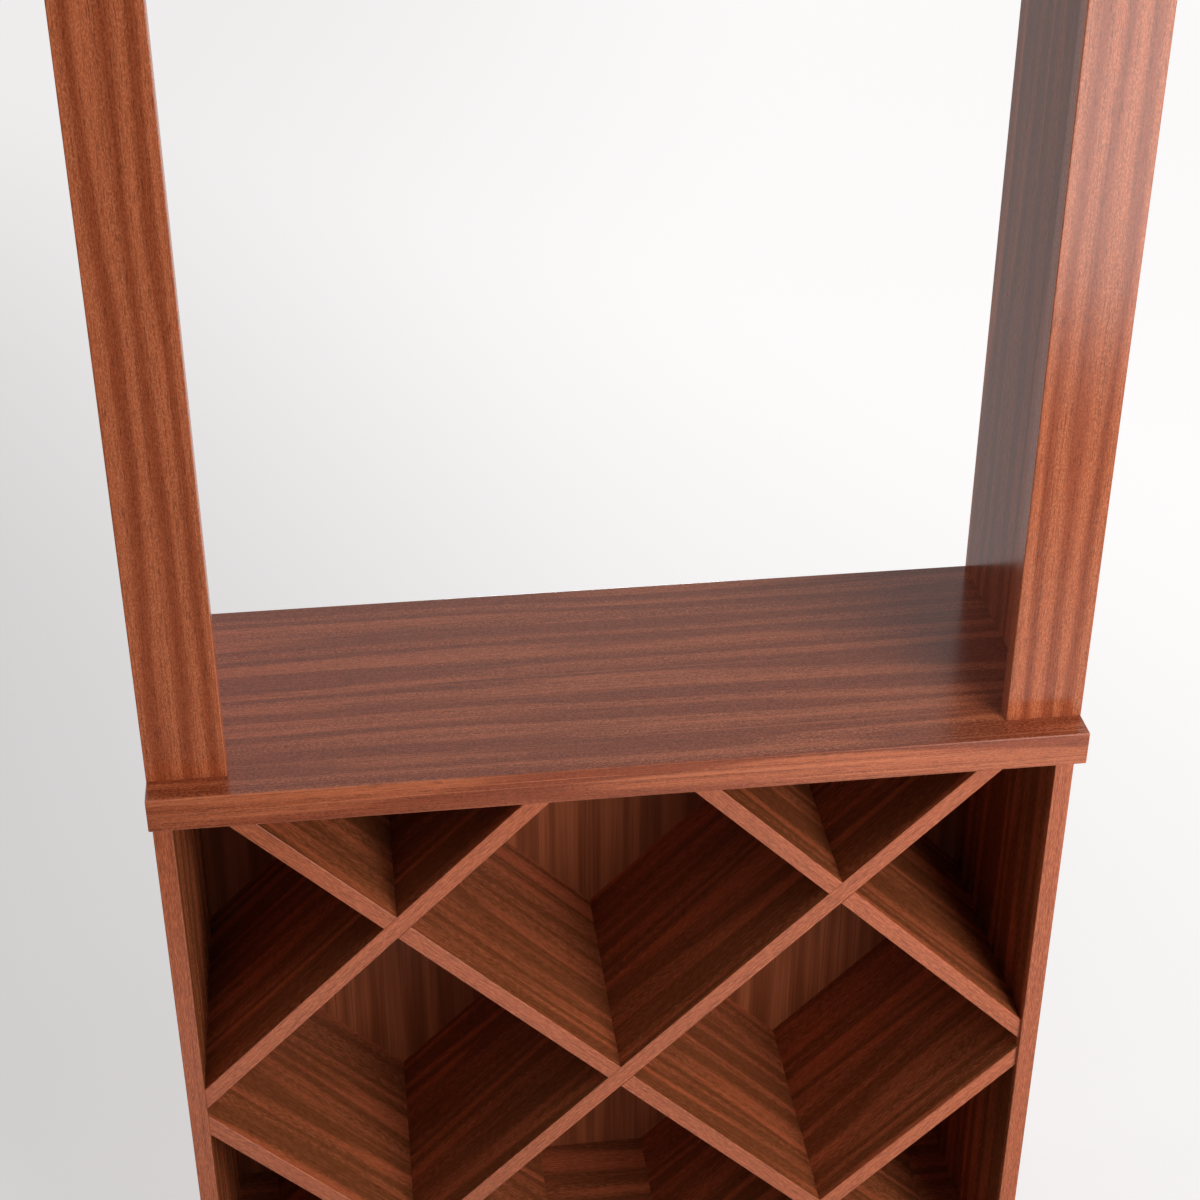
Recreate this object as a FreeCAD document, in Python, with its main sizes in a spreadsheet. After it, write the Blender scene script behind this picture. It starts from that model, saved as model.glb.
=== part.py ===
import FreeCAD, Part
import os
import re
import Sketcher

# Wine tasting station: a base cabinet with diamond bins, a thick tabletop, and two
# uprights tied together at the top.
# Millimetres. The origin is on the floor under the middle of the station, +Z is up and
# the front faces -Y.

# Driving sizes, one word each, kept as aliases in the sheet.
SIZES = {
    # Whole station
    "station_width": 914.4,
    "station_depth": 330.2,
    "station_height": 2133.6,
    "table_height": 914.4,
    # Tabletop: a thick slab that overhangs the cabinet at the front only
    "tabletop_thick": 36.5,
    "tabletop_ease": 1.5,
    "front_overhang": 31.75,
    # Base cabinet boards
    "side_thick": 19.05,
    "deck_thick": 19.05,
    "subtop_thick": 19.05,
    "kick_height": 81.0,
    "kick_thick": 19.05,
    "kick_recess": 38.1,
    "plinth_rail_thick": 19.05,
    # Back panel, let into a rebate in each side
    "back_thick": 6.35,
    "back_inset": 3.2,
    "back_gap": 0.5,
    "rebate_width": 9.5,
    # Bin boards, crossed and half-lapped
    "slat_thick": 19.05,
    "slat_recess": 4.75,
    "lap_clearance": 0.1,
    # Uprights: a wide stile in front of a board
    "stile_width": 76.2,
    "stile_thick": 19.05,
    "upright_thick": 19.05,
    "upright_inset": 19.05,
    # Boards that tie the uprights together
    "header_height": 101.6,
    "top_panel_thick": 19.05,
    "rear_rail_height": 88.9,
    "rear_rail_thick": 19.05,
    "wall_hole_dia": 5.0,
    "wall_hole_spacing": 406.4,
    # Small round on the arrises that a hand can reach
    "edge_ease": 1.0,
    # Dowels and their holes
    "dowel_dia": 8.0,
    "dowel_end_bite": 22.0,
    "dowel_margin": 32.0,
    "dowel_clearance": 0.1,
    "hole_end_clearance": 1.0,
    # Pan-head screws up into the tabletop
    "table_screw_dia": 4.2,
    "table_screw_bite": 22.0,
    "table_screw_head_dia": 8.4,
    "table_screw_head_height": 3.0,
    "table_screw_margin": 45.0,
    # Pan-head screws in the back panel
    "back_screw_dia": 3.5,
    "back_screw_bite": 12.0,
    "back_screw_head_dia": 7.0,
    "back_screw_head_height": 2.2,
    "screw_clearance": 0.1,
    # Triangular glue blocks behind the toe kick and in front of the plinth rail
    "block_leg": 32.0,
    "block_lift": 12.0,
    # How far a cutter runs past the face that it opens
    "overrun": 2.0,
}

# Places worked out from the driving sizes.
PLACES = {
    "half_width": "station_width / 2",
    "rear": "station_depth / 2",
    "cabinet_front": "front_overhang - rear",
    "table_under": "table_height - tabletop_thick",
    "inner_half": "half_width - side_thick",
    "deck_top": "kick_height + deck_thick",
    "subtop_under": "table_under - subtop_thick",
    "back_rear": "rear - back_inset",
    "back_front": "back_rear - back_thick",
    "bin_front": "cabinet_front + slat_recess",
    "lap_plane": "(bin_front + back_front) / 2",
    "lattice_centre": "(deck_top + subtop_under) / 2",
    "lattice_reach": "station_width + table_height",
    "kick_front": "cabinet_front + kick_recess",
    "kick_rear": "kick_front + kick_thick",
    "plinth_front": "back_front - plinth_rail_thick",
    "back_half": "inner_half + rebate_width - back_gap",
    "stile_inner": "half_width - stile_width",
    "stile_middle": "cabinet_front + stile_thick / 2",
    "stile_rear": "cabinet_front + stile_thick",
    "upright_outer": "half_width - upright_inset",
    "upright_middle": "upright_outer - upright_thick / 2",
    "upright_inner": "upright_outer - upright_thick",
    "header_under": "station_height - header_height",
    "top_panel_under": "station_height - top_panel_thick",
    "rear_rail_under": "top_panel_under - rear_rail_height",
    "rear_rail_front": "rear - rear_rail_thick",
}

# Shares of the board that carries a fixing, and of a screw's own thickness.
DOWEL_FACE_SHARE = 0.6
STILE_FOOT_SHARES = (0.25, 0.75)
STILE_EDGE_SHARES = (0.1, 0.37, 0.63, 0.9)
HEADER_DOWEL_SHARES = (0.25, 0.75)
REAR_RAIL_DOWEL_SHARES = (0.2, 0.6)
BACK_SCREW_SHARES = (0.06, 0.35, 0.65, 0.94)
SCREW_POINT_SHARE = 0.25

# The bin boards cross at right angles. Each family has three boards, whose lines meet the
# lattice's middle height at these multiples of half the station's width.
SLAT_ANGLE = 45
SLAT_WAYS = {"rise": 1, "fall": -1}
SLAT_STEPS = {"upper": -1, "long": 0, "lower": 1}
HANDS = {"left": -1, "right": 1}

X_AXIS = FreeCAD.Vector(1, 0, 0)
Y_AXIS = FreeCAD.Vector(0, 1, 0)
Z_AXIS = FreeCAD.Vector(0, 0, 1)

doc = FreeCAD.newDocument("tasting_station")
sheet = doc.addObject("Spreadsheet::Sheet", "Sizes")
for row, (alias, value) in enumerate(SIZES.items(), start=1):
    sheet.set(f"A{row}", alias)
    sheet.set(f"B{row}", str(value))
    sheet.setAlias(f"B{row}", alias)
doc.recompute()

blanks = {}
cutters = {}
fixings = {}


def formula(text):
    """Write a sum of size and place words as an expression on the sheet."""
    def word(match):
        name = match.group()
        return f"({formula(PLACES[name])})" if name in PLACES else f"Sizes.{name}"
    return re.sub(r"[a-z][a-z_]*", word, text)


def bind(item, **sums):
    """Bind properties of an object to sums."""
    for name, text in sums.items():
        item.setExpression(name, formula(text))


def put(item, place):
    """Bind an object's position to three sums."""
    for axis, text in zip("xyz", place):
        item.setExpression(f"Placement.Base.{axis}", formula(text))


def middle_of(low, high):
    """The place halfway between two places."""
    return f"(({low}) + ({high})) / 2"


def share_of(low, high, share):
    """The place at a share of the way between two places."""
    return f"({low}) + {share} * (({high}) - ({low}))"


def three_along(low, high, margin):
    """A place near each end of a stretch and one in its middle."""
    return f"({low}) + {margin}", middle_of(low, high), f"({high}) - {margin}"


def on_hand(hand, text):
    """A place on the left or right, from its distance to the middle."""
    return f"{HANDS[hand]} * ({text})"


def span_on_hand(hand, near, far):
    """A stretch across the station on the left or right, from its distances to the middle."""
    span = on_hand(hand, near), on_hand(hand, far)
    return span if hand == "right" else span[::-1]


def plan_sketch(body, corners):
    """Straight lines round the corners, on the body's own horizontal plane."""
    sketch = body.newObject("Sketcher::SketchObject", f"{body.Name}_plan")
    planes = body.Origin.OriginFeatures
    sketch.AttachmentSupport = [(next(plane for plane in planes if plane.Role == "XY_Plane"), "")]
    sketch.MapMode = "FlatFace"
    points = [FreeCAD.Vector(*corner, 0) for corner in corners]
    following = points[1:] + points[:1]
    for start, end in zip(points, following):
        sketch.addGeometry(Part.LineSegment(start, end), False)
    for line in range(len(points)):
        sketch.addConstraint(Sketcher.Constraint("Coincident", line, 2, (line + 1) % len(points), 1))
    return sketch


def pad_both_ways(body, sketch, thickness):
    """The sketch padded evenly above and below its plane."""
    pad = body.newObject("PartDesign::Pad", f"{body.Name}_pad")
    pad.Profile = sketch
    pad.SideType = "Symmetric"
    bind(pad, Length=thickness)
    return pad


def arris(shape, faces):
    """Name of the edge of a squared board where two of its faces meet, such as -y and +x."""
    box = shape.BoundBox
    reach = {
        "-x": box.XMin, "+x": box.XMax,
        "-y": box.YMin, "+y": box.YMax,
        "-z": box.ZMin, "+z": box.ZMax,
    }
    for number, edge in enumerate(shape.Edges, start=1):
        middle = edge.BoundBox.Center
        if all(abs(getattr(middle, face[1]) - reach[face]) < edge.Tolerance for face in faces):
            return f"Edge{number}"
    raise ValueError(f"no arris between {faces}")


def board(name, across, along, up, eased=(), ease="edge_ease", turn=0):
    """A sawn board between low and high places, turned about its own depth axis.

    The listed arrises are eased.
    """
    width, depth, height = [f"({high}) - ({low})" for low, high in (across, along, up)]
    body = doc.addObject("PartDesign::Body", name)
    plan = plan_sketch(body, [(-1, -1), (1, -1), (1, 1), (-1, 1)])
    for line, kind in enumerate(("Horizontal", "Vertical", "Horizontal", "Vertical")):
        plan.addConstraint(Sketcher.Constraint(kind, line))
    plan.addConstraint(Sketcher.Constraint("Symmetric", 0, 1, 2, 1, -1, 1))
    for line, (kind, size) in enumerate((("DistanceX", width), ("DistanceY", depth))):
        number = plan.addConstraint(Sketcher.Constraint(kind, line, 1, line, 2, 1))
        plan.setExpression(f"Constraints[{number}]", formula(size))
    pad = pad_both_ways(body, plan, height)
    body.Placement.Rotation = FreeCAD.Rotation(Y_AXIS, turn)
    put(body, [middle_of(*span) for span in (across, along, up)])
    doc.recompute()
    if eased:
        fillet = body.newObject("PartDesign::Fillet", f"{name}_ease")
        fillet.Base = (pad, [arris(pad.Shape, faces) for faces in eased])
        bind(fillet, Radius=ease)
    return body


def blank(label, across, along, up, eased=(), ease="edge_ease"):
    """A board that is still to be drilled, and is then kept under its label."""
    blanks[label] = board(f"{label}_blank", across, along, up, eased, ease)
    cutters[label] = []


def rod(name, start, direction, length, dia):
    """A round rod from its start along a direction."""
    cylinder = doc.addObject("Part::Cylinder", name)
    cylinder.Placement.Rotation = FreeCAD.Rotation(Z_AXIS, direction)
    bind(cylinder, Radius=f"({dia}) / 2", Height=length)
    put(cylinder, start)
    return cylinder


def step_along(place, direction, distance):
    """A place moved along an axis by a distance."""
    return [f"{text} + {int(way)} * ({distance})" for text, way in zip(place, direction)]


def add_fixing(label, joined, fixing, hole):
    """Put a fixing in its group, and its hole in the boards that it joins."""
    fixings.setdefault(label, []).append(fixing)
    for board_label in joined:
        cutters[board_label].append(hole)


def next_name(label):
    """A name for the next fixing of a group."""
    return f"{label}_{len(fixings.get(label, [])) + 1}"


def dowel(label, joined, place, direction, tail, nose):
    """A dowel across a joint at a place, its tail behind the joint and its nose ahead."""
    name = next_name(label)
    start = step_along(place, direction, f"-({tail})")
    pin = rod(name, start, direction, f"{tail} + {nose}", "dowel_dia")
    start = step_along(place, direction, f"-({tail}) - hole_end_clearance")
    length = f"{tail} + {nose} + 2 * hole_end_clearance"
    hole = rod(f"{name}_hole", start, direction, length, "dowel_dia + 2 * dowel_clearance")
    add_fixing(label, joined, pin, hole)


def screw(label, joined, place, direction, kind, grip):
    """A pan-head screw with its head seated at a place, through a grip and into wood."""
    name = next_name(label)
    shank = f"{grip} + {kind}_bite"
    start = step_along(place, direction, f"-{kind}_head_height")
    head = rod(f"{name}_head", start, direction, f"{kind}_head_height", f"{kind}_head_dia")
    stem = rod(f"{name}_stem", place, direction, f"{shank} - {kind}_dia", f"{kind}_dia")
    point = doc.addObject("Part::Cone", f"{name}_point")
    point.Placement.Rotation = FreeCAD.Rotation(Z_AXIS, direction)
    blunt = f"{SCREW_POINT_SHARE} * {kind}_dia / 2"
    bind(point, Radius1=f"{kind}_dia / 2", Radius2=blunt, Height=f"{kind}_dia")
    put(point, step_along(place, direction, f"{shank} - {kind}_dia"))
    whole = doc.addObject("Part::MultiFuse", name)
    whole.Shapes = [head, stem, point]
    bore = f"{kind}_dia + 2 * screw_clearance"
    hole = rod(f"{name}_hole", place, direction, f"{shank} + hole_end_clearance", bore)
    add_fixing(label, joined, whole, hole)


def base_sides():
    """Side boards that stand on the floor, each with a rebate at its inner rear corner."""
    for hand in HANDS:
        label = f"base_side_{hand}"
        across = span_on_hand(hand, "inner_half", "half_width")
        front_arrises = [("-x", "-y"), ("+x", "-y")]
        blank(label, across, ("cabinet_front", "rear"), ("0", "table_under"), front_arrises)
        across = span_on_hand(hand, "inner_half - overrun", "inner_half + rebate_width")
        up = ("-overrun", "table_under + overrun")
        cutters[label].append(board(f"{label}_rebate", across, ("back_front", "rear + overrun"), up))


def base_shelves():
    """The deck and the sub-top, dowelled between the sides."""
    spans = {"base_deck": ("kick_height", "deck_top"), "base_sub_top": ("subtop_under", "table_under")}
    for label, up in spans.items():
        front_arrises = [("-y", "-z"), ("-y", "+z")]
        blank(label, ("-inner_half", "inner_half"), ("cabinet_front", "back_front"), up, front_arrises)
        for hand, way in HANDS.items():
            for along in three_along("cabinet_front", "back_front", "dowel_margin"):
                place = (on_hand(hand, "inner_half"), along, middle_of(*up))
                joined = (label, f"base_side_{hand}")
                side_bite = f"{DOWEL_FACE_SHARE} * side_thick"
                dowel("case_dowels", joined, place, X_AXIS * way, "dowel_end_bite", side_bite)


def plinth():
    """The toe kick and the rear rail at the floor, with a glue block in each corner."""
    across = ("-inner_half", "inner_half")
    blank("toe_kick", across, ("kick_front", "kick_rear"), ("0", "kick_height"))
    blank("plinth_rail", across, ("plinth_front", "back_front"), ("0", "kick_height"))
    corners = (
        ("left", "kick_rear"),
        ("right", "kick_rear"),
        ("right", "plinth_front"),
        ("left", "plinth_front"),
    )
    for quarter_turns, (hand, along) in enumerate(corners):
        glue_block(on_hand(hand, "inner_half"), along, quarter_turns)


def glue_block(across, along, quarter_turns):
    """A triangular block, its square corner at a corner of the plinth."""
    label = "plinth_glue_blocks"
    body = doc.addObject("PartDesign::Body", next_name(label))
    plan = plan_sketch(body, [(0, 0), (1, 0), (0, 1)])
    plan.addConstraint(Sketcher.Constraint("Coincident", 0, 1, -1, 1))
    plan.addConstraint(Sketcher.Constraint("Horizontal", 0))
    plan.addConstraint(Sketcher.Constraint("Vertical", 2))
    legs = (
        Sketcher.Constraint("DistanceX", 0, 1, 0, 2, 1),
        Sketcher.Constraint("DistanceY", 2, 2, 2, 1, 1),
    )
    for leg in legs:
        number = plan.addConstraint(leg)
        plan.setExpression(f"Constraints[{number}]", formula("block_leg"))
    pad_both_ways(body, plan, "kick_height - block_lift")
    body.Placement.Rotation = FreeCAD.Rotation(Z_AXIS, 90 * quarter_turns)
    put(body, (across, along, middle_of("block_lift", "kick_height")))
    fixings.setdefault(label, []).append(body)


def base_back():
    """The thin back panel, screwed to the sides, the deck and the sub-top."""
    up = ("kick_height", "table_under")
    blank("base_back", ("-back_half", "back_half"), ("back_front", "back_rear"), up)
    places = []
    for hand in HANDS:
        for share in BACK_SCREW_SHARES:
            across = on_hand(hand, "inner_half + rebate_width / 2")
            places.append((f"base_side_{hand}", across, share_of(*up, share)))
    for across in ("-half_width / 2", "0", "half_width / 2"):
        places.append(("base_deck", across, middle_of("kick_height", "deck_top")))
        places.append(("base_sub_top", across, middle_of("subtop_under", "table_under")))
    for carrier, across, height in places:
        place = (across, "back_rear", height)
        screw("back_screws", ("base_back", carrier), place, -Y_AXIS, "back_screw", "back_thick")


def bin_lattice():
    """Two families of bin boards, clipped to the case and half-lapped where they cross.

    Rising boards are whole in front of the lap plane, falling boards behind it.
    """
    bins = ("bin_front", "back_front")
    space = board("bin_space", ("-inner_half", "inner_half"), bins, ("deck_top", "subtop_under"))
    whole_parts = {
        "rise": ("bin_front - overrun", "lap_plane"),
        "fall": ("lap_plane", "back_front + overrun"),
    }
    notches = {"rise": [], "fall": []}
    for family, way in SLAT_WAYS.items():
        for step_name, step in SLAT_STEPS.items():
            label = f"slat_{family}_{step_name}"
            line = f"{way * step} * half_width"
            across = (f"{line} - lattice_reach / 2", f"{line} + lattice_reach / 2")
            turn = -way * SLAT_ANGLE
            up = ("lattice_centre - slat_thick / 2", "lattice_centre + slat_thick / 2")
            front_arrises = [("-y", "-z"), ("-y", "+z")]
            stock = board(f"{label}_stock", across, bins, up, front_arrises, turn=turn)
            blanks[label] = doc.addObject("Part::Common", f"{label}_blank")
            blanks[label].Base = stock
            blanks[label].Tool = space
            up = (f"{up[0]} - lap_clearance", f"{up[1]} + lap_clearance")
            notches[family].append(board(f"{label}_notch", across, whole_parts[family], up, turn=turn))
    for step_name in SLAT_STEPS:
        cutters[f"slat_rise_{step_name}"] = notches["fall"]
        cutters[f"slat_fall_{step_name}"] = notches["rise"]


def tabletop():
    """The slab, eased all round, and the screws that pull it down on the sub-top."""
    faces = ("-x", "+x", "-y", "+y", "-z", "+z")
    every_arris = [(one, other) for one in faces for other in faces if one[1] < other[1]]
    across = ("-half_width", "half_width")
    up = ("table_under", "table_height")
    blank("tabletop", across, ("-rear", "rear"), up, every_arris, "tabletop_ease")
    for across in ("-half_width / 2", "half_width / 2"):
        for along in three_along("cabinet_front", "back_front", "table_screw_margin"):
            place = (across, along, "subtop_under")
            joined = ("base_sub_top", "tabletop")
            screw("tabletop_screws", joined, place, Z_AXIS, "table_screw", "subtop_thick")


def stiles():
    """The wide front boards of the uprights, dowelled to the tabletop."""
    upright_arrises = [("-x", "-y"), ("+x", "-y"), ("-x", "+y"), ("+x", "+y")]
    for hand in HANDS:
        label = f"stile_{hand}"
        across = span_on_hand(hand, "stile_inner", "half_width")
        up = ("table_height", "station_height")
        blank(label, across, ("cabinet_front", "stile_rear"), up, upright_arrises)
        slab_bite = f"{DOWEL_FACE_SHARE} * tabletop_thick"
        for share in STILE_FOOT_SHARES:
            middle = on_hand(hand, share_of("stile_inner", "half_width", share))
            place = (middle, "stile_middle", "table_height")
            dowel("stile_foot_dowels", ("tabletop", label), place, Z_AXIS, slab_bite, "dowel_end_bite")


def uprights():
    """The boards behind the stiles, dowelled to the tabletop and to the stiles."""
    for hand in HANDS:
        label = f"upright_{hand}"
        across = span_on_hand(hand, "upright_inner", "upright_outer")
        up = ("table_height", "top_panel_under")
        blank(label, across, ("stile_rear", "rear"), up, [("-x", "+y"), ("+x", "+y")])
        middle = on_hand(hand, "upright_middle")
        slab_bite = f"{DOWEL_FACE_SHARE} * tabletop_thick"
        for along in three_along("stile_rear", "rear", "dowel_margin"):
            place = (middle, along, "table_height")
            dowel("upright_foot_dowels", ("tabletop", label), place, Z_AXIS, slab_bite, "dowel_end_bite")
        stile_bite = f"{DOWEL_FACE_SHARE} * stile_thick"
        joined = (f"stile_{hand}", label)
        for share in STILE_EDGE_SHARES:
            place = (middle, "stile_rear", share_of(*up, share))
            dowel("stile_edge_dowels", joined, place, Y_AXIS, stile_bite, "dowel_end_bite")


def header_rail():
    """The front rail between the stiles."""
    across = ("-stile_inner", "stile_inner")
    up = ("header_under", "station_height")
    long_arrises = [("-y", "-z"), ("+y", "-z"), ("-y", "+z")]
    blank("header_rail", across, ("cabinet_front", "stile_rear"), up, long_arrises)
    for hand, way in HANDS.items():
        for share in HEADER_DOWEL_SHARES:
            place = (on_hand(hand, "stile_inner"), "stile_middle", share_of(*up, share))
            joined = ("header_rail", f"stile_{hand}")
            dowel("header_dowels", joined, place, X_AXIS * way, "dowel_end_bite", "dowel_end_bite")


def top_panel():
    """The board that lies on both uprights."""
    across = ("-upright_outer", "upright_outer")
    up = ("top_panel_under", "station_height")
    blank("top_panel", across, ("stile_rear", "rear"), up, [("+y", "-z"), ("+y", "+z")])
    panel_bite = f"{DOWEL_FACE_SHARE} * top_panel_thick"
    for hand in HANDS:
        joined = (f"upright_{hand}", "top_panel")
        for along in three_along("stile_rear", "rear", "dowel_margin"):
            place = (on_hand(hand, "upright_middle"), along, "top_panel_under")
            dowel("upright_head_dowels", joined, place, Z_AXIS, "dowel_end_bite", panel_bite)


def rear_rail():
    """The rail under the top panel at the rear, with a hole on each hand for a wall screw."""
    across = ("-upright_inner", "upright_inner")
    along = ("rear_rail_front", "rear")
    up = ("rear_rail_under", "top_panel_under")
    blank("rear_rail", across, along, up, [("-y", "-z"), ("+y", "-z")])
    upright_bite = f"{DOWEL_FACE_SHARE} * upright_thick"
    for hand, way in HANDS.items():
        joined = ("rear_rail", f"upright_{hand}")
        for share in REAR_RAIL_DOWEL_SHARES:
            place = (on_hand(hand, "upright_inner"), middle_of(*along), share_of(*up, share))
            dowel("rear_rail_dowels", joined, place, X_AXIS * way, "dowel_end_bite", upright_bite)
        start = (on_hand(hand, "wall_hole_spacing / 2"), "rear_rail_front - overrun", middle_of(*up))
        length = "rear_rail_thick + 2 * overrun"
        cutters["rear_rail"].append(rod(f"wall_hole_{hand}", start, Y_AXIS, length, "wall_hole_dia"))


def finish_pieces():
    """Cut each blank, group the fixings and name the finished pieces."""
    pieces = []
    for label, stock in blanks.items():
        piece = stock
        if cutters[label]:
            tools = doc.addObject("Part::Compound", f"{label}_tools")
            tools.Links = cutters[label]
            piece = doc.addObject("Part::Cut", label)
            piece.Base = stock
            piece.Tool = tools
        piece.Label = label
        pieces.append(piece)
    for label, solids in fixings.items():
        piece = doc.addObject("Part::Compound", label)
        piece.Links = solids
        piece.Label = label
        pieces.append(piece)
    return pieces


base_sides()
base_shelves()
plinth()
base_back()
bin_lattice()
tabletop()
stiles()
uprights()
header_rail()
top_panel()
rear_rail()
finished = finish_pieces()
doc.recompute()

for item in doc.Objects:
    if "Invalid" in item.State or "Error" in item.State:
        raise RuntimeError(f"{item.Label} did not build: {item.State}")
for item in finished:
    if item.Shape.isNull() or not item.Shape.isValid():
        raise RuntimeError(f"{item.Label} has no valid shape")

os.makedirs("parts", exist_ok=True)
for item in finished:
    item.Shape.exportStep(f"parts/{item.Label}.step")
    print(f"{item.Label}: {len(item.Shape.Solids)} solids, {item.Shape.Volume / 1000:.1f} cm3")
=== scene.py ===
"""Looks of a lacquered mahogany wine tasting station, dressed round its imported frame.

Metres. The front faces -Y and +Z is up.
"""

import logging
import math
from dataclasses import dataclass, replace
from enum import Enum
from typing import Any, Iterator

import bpy
import numpy as np
from mathutils import Euler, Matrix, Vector


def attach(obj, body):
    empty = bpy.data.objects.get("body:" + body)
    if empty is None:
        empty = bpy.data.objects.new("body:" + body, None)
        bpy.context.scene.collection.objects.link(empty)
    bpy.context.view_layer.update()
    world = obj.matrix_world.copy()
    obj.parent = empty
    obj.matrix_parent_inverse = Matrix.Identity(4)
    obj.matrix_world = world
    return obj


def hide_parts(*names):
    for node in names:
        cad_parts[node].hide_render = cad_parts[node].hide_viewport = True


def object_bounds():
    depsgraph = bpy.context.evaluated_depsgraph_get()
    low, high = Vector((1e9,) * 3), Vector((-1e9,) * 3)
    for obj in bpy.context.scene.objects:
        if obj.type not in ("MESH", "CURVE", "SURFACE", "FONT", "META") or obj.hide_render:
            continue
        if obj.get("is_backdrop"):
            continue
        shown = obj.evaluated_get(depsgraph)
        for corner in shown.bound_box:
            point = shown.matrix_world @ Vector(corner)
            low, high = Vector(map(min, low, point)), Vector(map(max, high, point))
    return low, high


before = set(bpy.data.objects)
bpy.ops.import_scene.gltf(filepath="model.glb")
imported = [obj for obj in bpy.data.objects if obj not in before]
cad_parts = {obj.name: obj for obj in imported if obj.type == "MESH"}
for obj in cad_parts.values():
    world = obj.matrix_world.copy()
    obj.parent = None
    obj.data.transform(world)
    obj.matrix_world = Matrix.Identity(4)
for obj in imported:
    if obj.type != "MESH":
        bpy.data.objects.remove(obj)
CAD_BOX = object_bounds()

MM = 0.001
BODY = "root"
FULL_TURN = 2 * math.pi
# The sRGB curve: straight up to its knee, and a power of the lifted value above it.
SRGB_KNEE, SRGB_SLOPE, SRGB_LIFT, SRGB_POWER = 0.04045, 12.92, 0.055, 2.4
# Socket numbers of the Mix node, for colours and for plain numbers.
MIX_SHARE, MIX_BELOW, MIX_ABOVE, MIX_RESULT = 0, 6, 7, 2
MIX_LOW, MIX_HIGH = 2, 3
# A band texture of scale 1 repeats after this length.
BAND_LENGTH = FULL_TURN / 20
# Wood and lacquer bend light alike.
RESIN_IOR = 1.5
# Corners that agree to this many digits of a metre are at one place.
PLACE_DIGITS = 6
# From one place in the log to the next: how far the pattern moves on, in metres, and how much and
# how fast the tone changes.
LOG_STEP = (0.731, 0.377, 0.519)
TONE_SPREAD, TONE_RATE = 0.05, 2.4

log = logging.getLogger("tasting_station")

Tree = bpy.types.NodeTree
Socket = bpy.types.NodeSocket
Material = bpy.types.Material
Thing = bpy.types.Object
Colour = tuple[float, float, float, float]
Triple = tuple[float, float, float]


def linear(colour: str, tone: float = 1.0) -> Colour:
    """Turn an sRGB hex colour into linear light.

    Args:
        colour: Six hex digits after a hash sign.
        tone: Factor on the linear colour.

    Returns:
        Linear red, green and blue, and a full alpha.
    """
    srgb = np.array([int(colour[place:place + 2], 16) for place in (1, 3, 5)]) / 255
    curve = ((srgb + SRGB_LIFT) / (1 + SRGB_LIFT)) ** SRGB_POWER
    light = np.where(srgb <= SRGB_KNEE, srgb / SRGB_SLOPE, curve)
    return (*(float(channel) for channel in light * tone), 1.0)


def add_node(
    tree: Tree, kind: str, inputs: dict[int | str, Any], **settings: Any,
) -> bpy.types.Node:
    """Add a node to a tree, set it and fill its sockets.

    Args:
        tree: The material's or world's node tree.
        kind: The node's type name, after "ShaderNode".
        inputs: What goes into each socket, by name or number: a value, or another node's output.
        settings: The node's own properties.

    Returns:
        The new node.
    """
    node = tree.nodes.new("ShaderNode" + kind)
    for name, value in settings.items():
        setattr(node, name, value)
    for socket, value in inputs.items():
        if isinstance(value, Socket):
            tree.links.new(value, node.inputs[socket])
        else:
            node.inputs[socket].default_value = value
    return node


def bare_material(name: str) -> tuple[Material, Tree]:
    """Make a material with an empty node tree.

    Args:
        name: What the real material and its finish are called.

    Returns:
        The material and its tree.
    """
    material = bpy.data.materials.new(name)
    material.use_nodes = True
    material.node_tree.nodes.clear()
    return material, material.node_tree


def paint_layers(tree: Tree, ground: Any, layers: list[tuple[Any, Colour]]) -> Any:
    """Lay colours over a ground colour, one after another, each by its own mask.

    Args:
        tree: The material's node tree.
        ground: The colour underneath, or the output that carries it.
        layers: A mask and a colour for each layer.

    Returns:
        The output that carries the finished colour.
    """
    for mask, colour in layers:
        layer = add_node(tree, "Mix", {
            MIX_SHARE: mask, MIX_BELOW: ground, MIX_ABOVE: colour,
        }, data_type="RGBA")
        ground = layer.outputs[MIX_RESULT]
    return ground


def per_metre(*millimetres: float) -> tuple[float, ...]:
    """Turn feature sizes in millimetres into pattern scales per metre."""
    return tuple(1 / (size * MM) for size in millimetres)


def node_points(node: str) -> np.ndarray:
    """Read the corners of a node's mesh.

    Args:
        node: The node's name.

    Returns:
        The corners in metres, one row each.
    """
    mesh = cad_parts[node].data
    points = np.empty(3 * len(mesh.vertices), np.float32)
    mesh.vertices.foreach_get("co", points)
    return points.reshape(-1, 3).astype(float)


def solid_boxes(node: str) -> np.ndarray:
    """Find the box of each separate solid in a node.

    Corners at one place are one point. Every point starts with its own number, and each triangle
    gives its points the smallest number among them, until nothing changes. Points with the same
    number are then one solid.

    Args:
        node: The node's name.

    Returns:
        The lowest and highest corner of each solid, as an array of solids by 2 by 3.
    """
    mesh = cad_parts[node].data
    corners = np.empty(3 * len(mesh.polygons), np.int32)
    mesh.polygons.foreach_get("vertices", corners)
    points, place = np.unique(node_points(node).round(PLACE_DIGITS), axis=0, return_inverse=True)
    triangles = place.reshape(-1)[corners].reshape(-1, 3)
    number = np.arange(len(points))
    while True:
        least = number[triangles].min(axis=1)
        if np.array_equal(number[triangles], np.repeat(least[:, None], 3, axis=1)):
            break
        np.minimum.at(number, triangles, least[:, None])
    solids, member = np.unique(number, return_inverse=True)
    low = np.full((len(solids), 3), np.inf)
    high = -low
    np.minimum.at(low, member, points)
    np.maximum.at(high, member, points)
    return np.stack((low, high), axis=1)


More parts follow.
